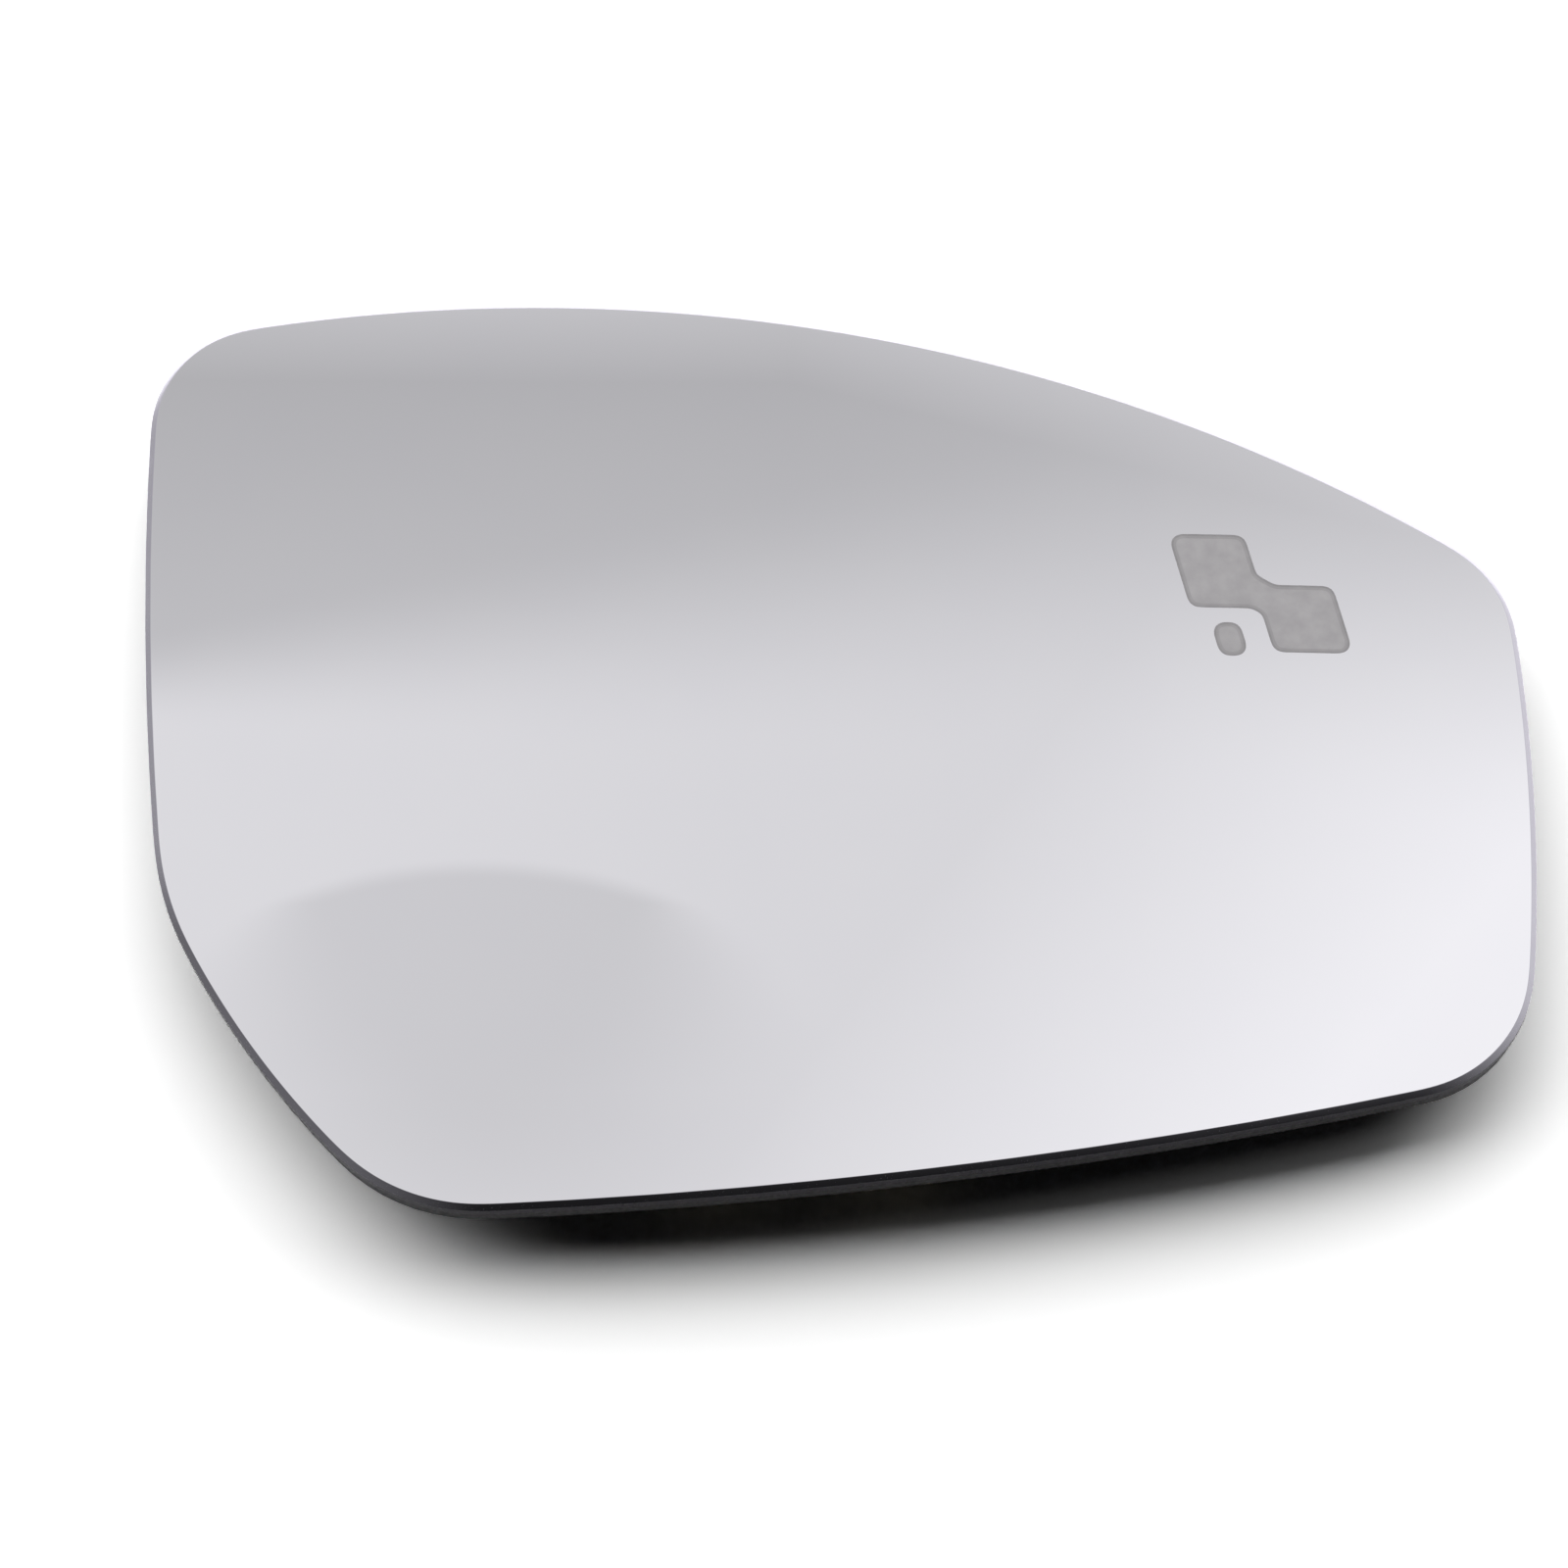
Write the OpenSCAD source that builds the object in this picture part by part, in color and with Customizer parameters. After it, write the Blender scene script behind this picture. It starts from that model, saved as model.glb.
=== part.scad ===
// Heated convex glass of a car's door mirror, with a lit warning sign, lying on its back.
// A moulded plate carries the glass, and its collar and hooks grip the mirror's actuator.
// Millimetres. Z points out of the mirror face, and Z = 0 is the ring that it rests on.
// The origin is on the axis of the actuator collar, near the middle of the outline.
// The outline is a five-sided figure of shallow arcs, joined by round corners.

/* [Outline corners] */
// Top left corner, across
top_left_x = -91.1; // [-95:0.1:-89]
// Top left corner, up
top_left_y = 63.5; // [60:0.1:66]
// Top left corner, rounding
top_left_r = 15.7; // [12:0.1:20]
// Top right corner, across
top_right_x = 98.7; // [96:0.1:101]
// Top right corner, up
top_right_y = 26.4; // [25:0.1:30]
// Top right corner, rounding
top_right_r = 17; // [12:0.1:20]
// Bottom right corner, across
low_right_x = 98.3; // [95:0.1:101]
// Bottom right corner, up
low_right_y = -48; // [-51:0.1:-45]
// Bottom right corner, rounding
low_right_r = 20; // [15:0.1:24]
// Bottom left corner, across
low_left_x = -53.2; // [-57:0.1:-50]
// Bottom left corner, up
low_left_y = -68.7; // [-71:0.1:-66]
// Bottom left corner, rounding
low_left_r = 26.9; // [22:0.1:32]
// Left corner above the slanting side, across
left_x = -87.6; // [-91:0.1:-86]
// Left corner above the slanting side, up
left_y = -22.2; // [-24:0.1:-18]
// Left corner above the slanting side, rounding
left_r = 43.7; // [38:0.1:50]

/* [Outline sides] */
// How far the top side bulges out of its chord
top_bulge = 19.2; // [17:0.1:21]
// How far the right side bulges out
right_bulge = 2.6; // [2:0.1:4]
// How far the bottom side bulges out
bottom_bulge = 4.5; // [3.5:0.1:5.5]
// How far the slanting lower left side bulges out
slant_bulge = 3.3; // [2.5:0.1:4.5]
// How far the left side bulges out
left_bulge = 1.7; // [1:0.1:2.4]

/* [Glass] */
// Radius of the convex mirror face
face_r = 1400; // [1000:50:2000]
// Thickness of the glass
glass_t = 2.1; // [1.8:0.1:3]
// Width of the ground bevel around the face
ground_edge = 0.8; // [0.5:0.1:1]

/* [Warning sign] */
// Middle of the sign, across
sign_x = 64; // [60:0.5:66]
// Middle of the sign, up
sign_y = 22; // [18:0.5:24]
// Width of the upper field
upper_w = 10.6; // [9:0.1:11]
// Height of the upper field
upper_h = 11.4; // [10:0.1:12]
// Width of the lower field
lower_w = 11; // [9:0.1:11.5]
// Height of the lower field
lower_h = 10.4; // [9:0.1:11]
// Width of the small field
small_w = 4; // [3.8:0.1:4.5]
// Height of the small field
small_h = 5.2; // [4:0.1:5.5]
// Width of the neck that joins the two large fields
neck_w = 4.9; // [4:0.1:5.5]
// Rounding of the fields' corners
field_r = 1.5; // [0.5:0.1:1.8]
// Lean of the fields, sideways for each step down
field_lean = 0.25; // [0.1:0.01:0.35]
// Depth of the frosted fields in the glass
sign_depth = 0.2; // [0.1:0.05:0.4]

/* [Heater] */
// Thickness of the heater's film
pad_t = 0.5; // [0.4:0.1:0.8]
// Thickness of the foil track
track_t = 0.3; // [0.2:0.1:0.5]
// Width of each run of the track
track_w = 5; // [4:0.5:6]
// Gap between two runs
track_gap = 3; // [2:0.5:3.5]
// Number of runs, an even number so that both ends come out below
track_runs = 14; // [10:2:14]
// Middle of the two blade terminals, up
blade_y = -52; // [-54:0.5:-50]
// Distance of each blade terminal from the middle
blade_x = 12; // [9:0.5:16]
// Width of a blade
blade_w = 6.3; // [4.8:0.1:6.3]
// Thickness of a blade
blade_t = 0.8; // [0.5:0.1:1]
// Height of a blade over its foot
blade_h = 7.5; // [6:0.5:8]

/* [Backing plate] */
// How far the plate stands back from the edge of the glass
plate_inset = 0.5; // [0.3:0.1:1]
// Thickness of the plate's skin
skin_t = 2; // [1.6:0.1:2.6]
// Width of the raised land that the rim of the glass lies on
land_w = 2.5; // [2:0.1:3]
// Depth of the rim wall below the skin
rim_depth = 1; // [0.8:0.1:2]
// Thickness of the rim wall
rim_t = 1.4; // [1:0.1:2]
// How far the rim wall stands back along the bottom
rim_inset = 0.8; // [0.8:0.1:1.5]
// How much further it stands back on the other sides
rim_set_back = 2.5; // [1.5:0.1:3]
// Extra rounding of the rim wall's corners
rim_rounding = 8; // [4:1:12]
// Thickness of the ribs
rib_t = 1.2; // [0.9:0.1:1.6]
// Depth of the shallow ribs below the skin
rib_depth = 0.9; // [0.6:0.1:1.4]
// Distance between two ring ribs
hoop_step = 15; // [12:0.5:18]

/* [Actuator seat] */
// Depth of the seat, from its rest ring to the plate's skin
seat_depth = 12; // [11.5:0.1:14]
// Radius of the collar's bore
collar_bore_r = 14; // [12:0.5:15]
// Wall of the collar
collar_t = 2.5; // [1.8:0.1:3]
// Number of hooks
hook_count = 6; // [4:1:8]
// Radius inside the hooks' stems
hook_r = 26.4; // [25:0.1:28]
// Thickness of a hook's stem
hook_t = 1.6; // [1.2:0.1:2]
// How far a hook's nose reaches inward
hook_reach = 1.6; // [1:0.1:2]
// Height of a hook's nose
nose_h = 3.2; // [2.8:0.1:4]
// How far the hooks stay short of the rest ring
hook_short = 1.6; // [1:0.1:3]
// Angle that each hook covers
hook_angle = 26; // [16:1:32]
// Outer radius of the rest ring
ring_r = 38; // [36:0.5:40]
// Wall of the rest ring
ring_t = 2; // [1.6:0.1:2.6]
// Number of gussets around the rest ring
gusset_count = 12; // [8:2:16]
// Reach of the gussets from the axis
gusset_r = 68; // [56:1:72]
// Depth of the gussets at the ring
gusset_depth = 6; // [4:0.5:8]

/* [Sign lamp] */
// Middle of the lamp, across
lamp_x = 62.8; // [61:0.1:64]
// Middle of the lamp, up
lamp_y = 20.6; // [19:0.1:21]
// Turn of the lamp
lamp_turn = -20; // [-24:1:-16]
// Length of the lamp's light guide
guide_l = 30.4; // [28:0.1:31]
// Width of the lamp's light guide
guide_w = 20.4; // [18:0.1:21]
// Thickness of the light guide below the glass
guide_t = 3.6; // [3.2:0.1:4]
// Wall of the lamp's housing
lamp_wall = 1.6; // [1.2:0.1:2]
// Depth of the housing below the skin
lamp_depth = 7; // [6.5:0.1:7.5]
// Width of the housing's plug socket
socket_w = 9; // [8.5:0.1:11]
// Length of the housing's plug socket
socket_l = 8; // [6:0.5:10]
// Thickness of the lamp's circuit board
board_t = 1; // [0.8:0.1:1.6]
// Distance of the outer diodes from the ends of the board
led_margin = 5.7; // [4:0.1:8]
// Distance of the diodes from the middle of the board, up
led_y = 2.5; // [1:0.1:4]
// Length of a diode
led_l = 3.5; // [2.8:0.1:4]
// Height of a diode
led_h = 1; // [0.6:0.1:1.2]
// Thickness of the contact pins
pin_t = 0.64; // [0.5:0.02:0.8]
// Distance between the contact pins
pin_step = 2.54; // [2:0.01:3]
// Width of the soft gasket around the light guide
gasket_w = 2.4; // [1.5:0.1:2.6]

/* [Hidden] */

// Longest distance between a true arc of the outline and its chords
edge_sag = 0.03;
// Assembly clearance
fit_gap = 0.2;
// Film of glue on each face of the heater's track
glue_t = 0.04;
// How far a cutting shape runs past what it cuts
past = 1;
// How far joined walls run into each other
bite = 0.5;

// Layers, as radii about one centre far below the glass
glass_back_r = face_r - glass_t;
pad_back_r = glass_back_r - pad_t;
floor_r = pad_back_r - track_t;
skin_back_r = floor_r - skin_t;
front_z = seat_depth + skin_t + track_t + pad_t + glass_t;
centre_z = front_z - face_r;

CORNERS = [
    [top_left_x, top_left_y], [top_right_x, top_right_y], [low_right_x, low_right_y],
    [low_left_x, low_left_y], [left_x, left_y]
];
CORNER_R = [top_left_r, top_right_r, low_right_r, low_left_r, left_r];
BULGES = [top_bulge, right_bulge, bottom_bulge, slant_bulge, left_bulge];
SIDES = len(CORNERS);
BOTTOM_SIDE = 2;

// Height of a layer's surface at a point
function layer_z(r, p) = centre_z + sqrt(r * r - p.x * p.x - p.y * p.y);

function wrap(i) = (i + SIDES) % SIDES;

// Radius of side i, from its chord and its bulge
function side_r(i) =
    let (chord = norm(CORNERS[wrap(i + 1)] - CORNERS[i]))
    (chord * chord / 4 + BULGES[i] * BULGES[i]) / (2 * BULGES[i]);

// Centre of side i, which lies inward of its chord
function side_centre(i) =
    let (
        a = CORNERS[i],
        b = CORNERS[wrap(i + 1)],
        along = (b - a) / norm(b - a),
        inward = [along.y, -along.x]
    )
    (a + b) / 2 + inward * (side_r(i) - BULGES[i]);

// Centre of the round of radius r that joins side i to the side before it
function round_centre(i, insets, r) =
    let (
        before = wrap(i - 1),
        ca = side_centre(before),
        cb = side_centre(i),
        ra = side_r(before) - insets[before] - r,
        rb = side_r(i) - insets[i] - r,
        gap = norm(cb - ca),
        t = (ra * ra - rb * rb + gap * gap) / (2 * gap),
        h = sqrt(ra * ra - t * t),
        u = (cb - ca) / gap,
        p = ca + u * t + [-u.y, u.x] * h,
        q = ca + u * t - [-u.y, u.x] * h
    )
    norm(p - CORNERS[i]) < norm(q - CORNERS[i]) ? p : q;

function heading(v) = atan2(v.y, v.x);
function clockwise(from, to) = (from - to + 720) % 360;
function same_inset(d) = [for (i = [0:SIDES - 1]) d];

// Start and end headings of the round at corner i
function round_ends(i, insets, r) =
    let (c = round_centre(i, insets, r))
    [heading(c - side_centre(wrap(i - 1))), heading(c - side_centre(i))];

// Number of chords in an arc
function chords(r, sweep) = max(1, ceil(sweep / (2 * acos(1 - edge_sag / r))));
ROUND_CHORDS = [
    for (i = [0:SIDES - 1])
        let (ends = round_ends(i, same_inset(0), CORNER_R[i]))
        chords(CORNER_R[i], clockwise(ends[0], ends[1]))
];
SIDE_CHORDS = [
    for (i = [0:SIDES - 1])
        let (
            from = round_ends(i, same_inset(0), CORNER_R[i])[1],
            to = round_ends(wrap(i + 1), same_inset(0), CORNER_R[wrap(i + 1)])[0]
        )
        chords(side_r(i), clockwise(from, to))
];

// Points of an arc, clockwise, without its last one
function arc(c, r, from, to, n) =
    [for (k = [0:n - 1]) let (a = from - clockwise(from, to) * k / n) c + r * [cos(a), sin(a)]];

// Points of the outline, with each side moved inward by its own inset
function outline_points(insets, rounding) =
    let (
        r = [for (i = [0:SIDES - 1]) CORNER_R[i] + rounding],
        ends = [for (i = [0:SIDES - 1]) round_ends(i, insets, r[i])]
    )
    [
        for (i = [0:SIDES - 1])
            each concat(
                arc(round_centre(i, insets, r[i]), r[i], ends[i][0], ends[i][1], ROUND_CHORDS[i]),
                arc(
                    side_centre(i), side_r(i) - insets[i],
                    ends[i][1], ends[wrap(i + 1)][0], SIDE_CHORDS[i]
                )
            )
    ];

// The outline moved inward by the same distance all round
function inset_points(d) = outline_points(same_inset(d), -d);

module inset_outline(d) {
    polygon(inset_points(d));
}

// The rim wall's outline, which keeps close to the edge only along the bottom
module rim_outline(extra) {
    polygon(
        outline_points(
            [for (i = [0:SIDES - 1]) rim_inset + extra + (i == BOTTOM_SIDE ? 0 : rim_set_back)],
            rim_rounding - extra
        )
    );
}

// Ball of a layer, with its poles turned away from the mirror
module dome(r) {
    translate([0, 0, centre_z])
        rotate([0, 90, 0])
            sphere(r, $fn = 360);
}

// What lies between two layers within the outline given as a child
module layer(outer_r, inner_r) {
    intersection() {
        linear_extrude(front_z + 2 * past)
            children();
        difference() {
            dome(outer_r);
            dome(inner_r);
        }
    }
}

// Upright block of the glass's outline, whose bevel follows the curved face
module ground_blank() {
    rim = inset_points(0);
    top = inset_points(ground_edge + bite);
    n = len(rim);
    points = concat(
        [for (p = rim) [p.x, p.y, 0]],
        [for (p = rim) [p.x, p.y, layer_z(face_r, p) - ground_edge]],
        [for (p = top) [p.x, p.y, layer_z(face_r, p) + bite]],
        [for (p = top) [p.x, p.y, front_z + past]]
    );
    walls = [
        for (ring = [0:2], i = [0:n - 1])
            let (
                a = ring * n + i,
                b = ring * n + (i + 1) % n
            )
            each [[a, a + n, b], [b, a + n, b + n]]
    ];
    polyhedron(points, concat(walls, [[for (i = [0:n - 1]) i], [for (i = [n - 1:-1:0]) 3 * n + i]]));
}

// Core of a field, a leaning rectangle that is rounded by growing it
module field_core(w, h) {
    x = w / 2 - field_r;
    y = h / 2 - field_r;
    lean = field_lean * y;
    polygon([[-x - lean, y], [x - lean, y], [x + lean, -y], [-x + lean, -y]]);
}

// Places of the fields from the middle of the sign, and the neck between the two large ones
UPPER_AT = [-5.8, 3.9];
LOWER_AT = [6, -3.3];
SMALL_AT = [-4.3, -6.6];

module double_field() {
    neck = LOWER_AT - UPPER_AT;
    offset(r = field_r, $fn = 24) {
        translate(UPPER_AT)
            field_core(upper_w, upper_h);
        translate(LOWER_AT)
            field_core(lower_w, lower_h);
        translate((UPPER_AT + LOWER_AT) / 2)
            rotate(heading(neck))
                square([norm(neck) / 2, neck_w - 2 * field_r], center = true);
    }
}

module small_field() {
    offset(r = field_r, $fn = 24)
        translate(SMALL_AT)
            field_core(small_w, small_h);
}

module at_sign() {
    translate([sign_x, sign_y])
        children();
}

module mirror_glass() {
    color("gainsboro")
        difference() {
            intersection() {
                ground_blank();
                difference() {
                    dome(face_r);
                    dome(glass_back_r);
                }
            }
            layer(face_r + past, face_r - sign_depth)
                at_sign() {
                    double_field();
                    small_field();
                }
        }
}

module sign_double_field() {
    color("darkgray")
        layer(face_r, face_r - sign_depth)
            at_sign()
                double_field();
}

module sign_small_field() {
    color("darkgray")
        layer(face_r, face_r - sign_depth)
            at_sign()
                small_field();
}

// Outlines and heights shared by the lamp's pieces
body_l = guide_l + 2 * (fit_gap + lamp_wall);
body_w = guide_w + 2 * (fit_gap + lamp_wall);
gasket_l = guide_l + 2 * (fit_gap + gasket_w);
gasket_h = guide_w + 2 * (fit_gap + gasket_w);
lamp_top_z = layer_z(skin_back_r, [lamp_x, lamp_y]);
lamp_floor_z = lamp_top_z - lamp_depth;
ledge_t = 1.5;
board_z = lamp_floor_z + lamp_wall + ledge_t;
pin_z = board_z + board_t;
latch_t = 1.4;
latch_w = 8;
latch_reach = 1;
latch_h = 1.4;
socket_wall = 1;
socket_h = 6.4;
pin_recess = 2;
pin_on_board = 3;
pin_gap = 0.05;

module at_lamp() {
    translate([lamp_x, lamp_y, 0])
        rotate(lamp_turn)
            children();
}

// Upright block over a rounded rectangle, cut off from above by a layer
module lamp_block(l, w, from_z, under_r, rounding) {
    intersection() {
        translate([0, 0, from_z])
            at_lamp()
                linear_extrude(front_z)
                    rounded_rectangle(l, w, rounding);
        dome(under_r);
    }
}

module rounded_rectangle(l, w, rounding) {
    offset(r = rounding, $fn = 24)
        square([l - 2 * rounding, w - 2 * rounding], center = true);
}

corner_round = 2;

// Notch in the heater for the lamp and its gasket, open towards the top of the mirror
module lamp_notch(margin) {
    at_lamp()
        translate([-gasket_l / 2 - margin, -gasket_h / 2 - margin])
            square([gasket_l + 2 * margin, 2 * gasket_h]);
}

module heater_pad() {
    color("peru")
        layer(glass_back_r, pad_back_r)
            difference() {
                inset_outline(plate_inset + land_w + fit_gap);
                lamp_notch(fit_gap);
            }
}

// The feed strips run along the edge, a little wider than the runs, which lie inside them
feed_margin = 7;
feed_w = track_w + 1;
lamp_margin = 4;
feed_in = land_w + feed_margin;
feed_out = feed_in + feed_w;
runs_in = feed_out + track_gap;
run_step = track_w + track_gap;
runs_right = lamp_x - body_l / 2 - lamp_margin;
runs_left = runs_right - track_runs * run_step + track_gap;

module run_area() {
    intersection() {
        inset_outline(runs_in);
        translate([runs_left, low_left_y])
            square([runs_right - runs_left, top_left_y + top_bulge - low_left_y]);
    }
}

// The runs are one area with cuts that come in turn from below and from above
module runs() {
    difference() {
        run_area();
        for (i = [1:track_runs - 1])
            intersection() {
                translate([runs_left + i * run_step - track_gap, -face_r / 2])
                    square([track_gap, face_r]);
                translate([0, i % 2 == 1 ? -track_w : track_w])
                    run_area();
            }
    }
}

module feed_area(x0, x1, y0, y1) {
    intersection() {
        difference() {
            inset_outline(feed_in);
            inset_outline(feed_out);
        }
        translate([x0, y0])
            square([x1 - x0, y1 - y0]);
    }
}

module heater_track() {
    far = 2 * abs(left_x);
    color("silver")
        layer(pad_back_r - glue_t, floor_r + glue_t)
            union() {
                runs();
                feed_area(-far, -blade_x + track_w, -far, left_y);
                feed_area(blade_x - track_w, runs_right, -far, 0);
                intersection() {
                    inset_outline(feed_out - bite);
                    translate([runs_left, left_y - 3 * track_w])
                        square([track_w, 4 * track_w]);
                }
                intersection() {
                    inset_outline(feed_out - bite);
                    translate([runs_right - track_w, low_left_y])
                        square([track_w, -low_left_y]);
                }
            }
}

// Heights of a terminal's flat seat, foot and rivet
boss_h = 0.8;
foot_l = 8;
rivet_r = 1.5;
rivet_head_r = 2.6;
rivet_head_h = 0.8;
rivet_head_bevel = 0.6;
plug_room = 2;
seat_z = layer_z(skin_back_r, [blade_x, blade_y]) - boss_h;

module at_blade(side) {
    translate([side * blade_x, blade_y, seat_z])
        children();
}

// A flat foot under the plate with the blade bent down from its outer end
module heater_blade(side) {
    color("gold")
        at_blade(side)
            difference() {
                union() {
                    translate([-blade_w / 2, -foot_l / 2, -blade_t])
                        cube([blade_w, foot_l, blade_t]);
                    translate([0, -foot_l / 2, -blade_t])
                        rotate([-90, 0, 0])
                            linear_extrude(blade_t)
                                blade_profile();
                }
                translate([0, 0, -blade_t - past])
                    cylinder(r = rivet_r, h = blade_t + 2 * past, $fn = 32);
            }
}

tip_chamfer = 1.2;
latch_hole_r = 0.9;
latch_hole_from_tip = 3.4;

module blade_profile() {
    half = blade_w / 2;
    difference() {
        polygon([
            [-half, -blade_t], [half, -blade_t], [half, blade_h - tip_chamfer],
            [half - tip_chamfer, blade_h], [tip_chamfer - half, blade_h], [-half, blade_h - tip_chamfer]
        ]);
        translate([0, blade_h - latch_hole_from_tip])
            circle(latch_hole_r, $fn = 24);
    }
}

// The shank goes up through the foot and the plate to the track
module blade_rivet(side) {
    shank_h = layer_z(floor_r, [blade_x, blade_y - rivet_r]) - seat_z + blade_t;
    color("silver")
        at_blade(side)
            translate([0, 0, -blade_t - rivet_head_h]) {
                cylinder(r1 = rivet_head_r - rivet_head_bevel, r2 = rivet_head_r, h = rivet_head_h, $fn = 32);
                cylinder(r = rivet_r, h = rivet_head_h + shank_h, $fn = 32);
            }
}

module skin() {
    difference() {
        layer(glass_back_r, skin_back_r)
            inset_outline(plate_inset);
        layer(glass_back_r + past, floor_r)
            inset_outline(plate_inset + land_w);
    }
}

module rim_wall() {
    layer(skin_back_r + bite, skin_back_r - rim_depth)
        difference() {
            rim_outline(0);
            rim_outline(rim_t);
        }
}

// Shallow ribs: rings about the collar and spokes between the gussets
module shallow_ribs() {
    layer(skin_back_r + bite, skin_back_r - rib_depth)
        intersection() {
            rim_outline(rim_t / 2);
            union() {
                for (r = [ring_r + hoop_step:hoop_step:-left_x])
                    difference() {
                        circle(r + rib_t / 2, $fn = 90);
                        circle(r - rib_t / 2, $fn = 90);
                    }
                for (i = [0:gusset_count - 1])
                    rotate((i + 0.5) * 360 / gusset_count)
                        translate([ring_r - ring_t / 2, -rib_t / 2])
                            square([-left_x, rib_t]);
            }
        }
}

// Three-cornered webs that brace the rest ring against the skin
module gussets() {
    top = seat_depth + bite;
    intersection() {
        for (i = [0:gusset_count - 1])
            rotate(i * 360 / gusset_count)
                rotate([90, 0, 0])
                    linear_extrude(rib_t, center = true)
                        polygon([
                            [ring_r - ring_t / 2, top], [ring_r - ring_t / 2, seat_depth - gusset_depth],
                            [ring_r, seat_depth - gusset_depth],
                            [gusset_r, layer_z(skin_back_r, [gusset_r, 0]) - rib_depth], [gusset_r, top]
                        ]);
        dome(skin_back_r + bite);
        linear_extrude(front_z)
            rim_outline(rim_t / 2);
    }
}

// A wall around the axis, from the rest plane up into the skin
module upright_ring(r_out, r_in) {
    intersection() {
        difference() {
            cylinder(r = r_out, h = front_z, $fn = 120);
            translate([0, 0, -past])
                cylinder(r = r_in, h = front_z, $fn = 120);
        }
        dome(skin_back_r + bite);
    }
}

nose_flat = 0.6;

// Stem with an inward nose that slopes on both faces, so that it snaps on and off
module hooks() {
    tip_z = hook_short;
    lead = nose_h / 2;
    profile = [
        [hook_r + hook_t, tip_z], [hook_r, tip_z], [hook_r - hook_reach, tip_z + lead],
        [hook_r - hook_reach, tip_z + lead + nose_flat], [hook_r, tip_z + nose_h],
        [hook_r, seat_depth + bite / 2], [hook_r + hook_t, seat_depth + bite / 2]
    ];
    for (i = [0:hook_count - 1])
        rotate(i * 360 / hook_count - hook_angle / 2)
            rotate_extrude(angle = hook_angle, $fn = 120)
                polygon(profile);
}

// Arms that hold the lamp's housing, with noses under its floor
module lamp_latches() {
    top = seat_depth + skin_t / 2;
    intersection() {
        at_lamp()
            for (side = [-1, 1])
                scale_x(side)
                    translate([body_l / 2 + fit_gap, 0, lamp_floor_z - fit_gap - latch_h])
                        rotate([90, 0, 0])
                            linear_extrude(latch_w, center = true)
                                polygon([
                                    [latch_t, 0], [0, 0], [-latch_reach - fit_gap, latch_h],
                                    [0, latch_h], [0, top], [latch_t, top]
                                ]);
        dome(skin_back_r + bite);
    }
}

module scale_x(side) {
    if (side < 0)
        mirror([1, 0, 0])
            children();
    else
        children();
}

rib_gap = 1;

// Room that the lamp needs between the ribs
module lamp_room(margin) {
    at_lamp() {
        l = body_l + 2 * margin;
        w = body_w + 2 * margin;
        translate([-l / 2, -w / 2, -past])
            cube([l, w, front_z]);
        translate([-socket_w / 2 - margin, -body_w / 2 - socket_l - margin, -past])
            cube([socket_w + 2 * margin, body_w, front_z]);
    }
}

module blade_bosses() {
    boss_w = foot_l + 2 * fit_gap;
    for (side = [-1, 1])
        intersection() {
            at_blade(side)
                translate([-boss_w / 2, -boss_w / 2, 0])
                    cube([boss_w, boss_w, front_z]);
            dome(skin_back_r + bite);
        }
}

module backing_plate() {
    color("dimgray")
        difference() {
            union() {
                skin();
                rim_wall();
                difference() {
                    union() {
                        shallow_ribs();
                        gussets();
                    }
                    intersection() {
                        lamp_room(rib_gap);
                        dome(skin_back_r);
                    }
                    blade_room();
                }
                blade_bosses();
                upright_ring(ring_r, ring_r - ring_t);
                upright_ring(collar_bore_r + collar_t, collar_bore_r);
                hooks();
                lamp_latches();
            }
            at_lamp()
                linear_extrude(front_z)
                    rounded_rectangle(guide_l + 2 * fit_gap, guide_w + 2 * fit_gap, corner_round);
            for (side = [-1, 1])
                at_blade(side)
                    translate([0, 0, -past])
                        cylinder(r = rivet_r, h = front_z, $fn = 32);
        }
}

// Room that the terminals and their receptacles need below the skin
module blade_room() {
    w = foot_l + 2 * plug_room;
    for (side = [-1, 1])
        intersection() {
            translate([side * blade_x - w / 2, blade_y - w / 2, 0])
                cube([w, w, seat_depth]);
            dome(skin_back_r);
        }
}

// Soft frame that keeps light and water in, between the plate's floor and the glass
module lamp_gasket() {
    color("black")
        layer(glass_back_r, floor_r)
            at_lamp()
                difference() {
                    rounded_rectangle(gasket_l, gasket_h, corner_round + gasket_w);
                    rounded_rectangle(guide_l + 2 * fit_gap, guide_w + 2 * fit_gap, corner_round);
                }
}

module lamp_light_guide() {
    color("white")
        difference() {
            lamp_block(guide_l, guide_w, 0, glass_back_r, corner_round);
            dome(glass_back_r - guide_t);
        }
}

module lamp_housing() {
    color("darkslategray")
        difference() {
            union() {
                lamp_block(body_l, body_w, lamp_floor_z, skin_back_r, corner_round + lamp_wall);
                at_lamp()
                    translate([-socket_w / 2, -body_w / 2 - socket_l, lamp_floor_z])
                        cube([socket_w, socket_l + lamp_wall, socket_h]);
            }
            lamp_block(guide_l + 2 * fit_gap, guide_w + 2 * fit_gap, board_z, face_r, corner_round);
            lamp_block(
                guide_l - 2 * ledge_t, guide_w - 2 * ledge_t, lamp_floor_z + lamp_wall, face_r, corner_round
            );
            at_lamp() {
                translate([
                    -socket_w / 2 + socket_wall, -body_w / 2 - socket_l - past, lamp_floor_z + socket_wall
                ])
                    cube([socket_w - 2 * socket_wall, socket_l + past, socket_h - 2 * socket_wall]);
                for (side = [-1, 1])
                    pin_shape(side, pin_gap);
            }
        }
}

module lamp_board() {
    color("seagreen")
        at_lamp()
            translate([0, 0, board_z])
                linear_extrude(board_t)
                    rounded_rectangle(guide_l, guide_w, corner_round);
}

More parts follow.
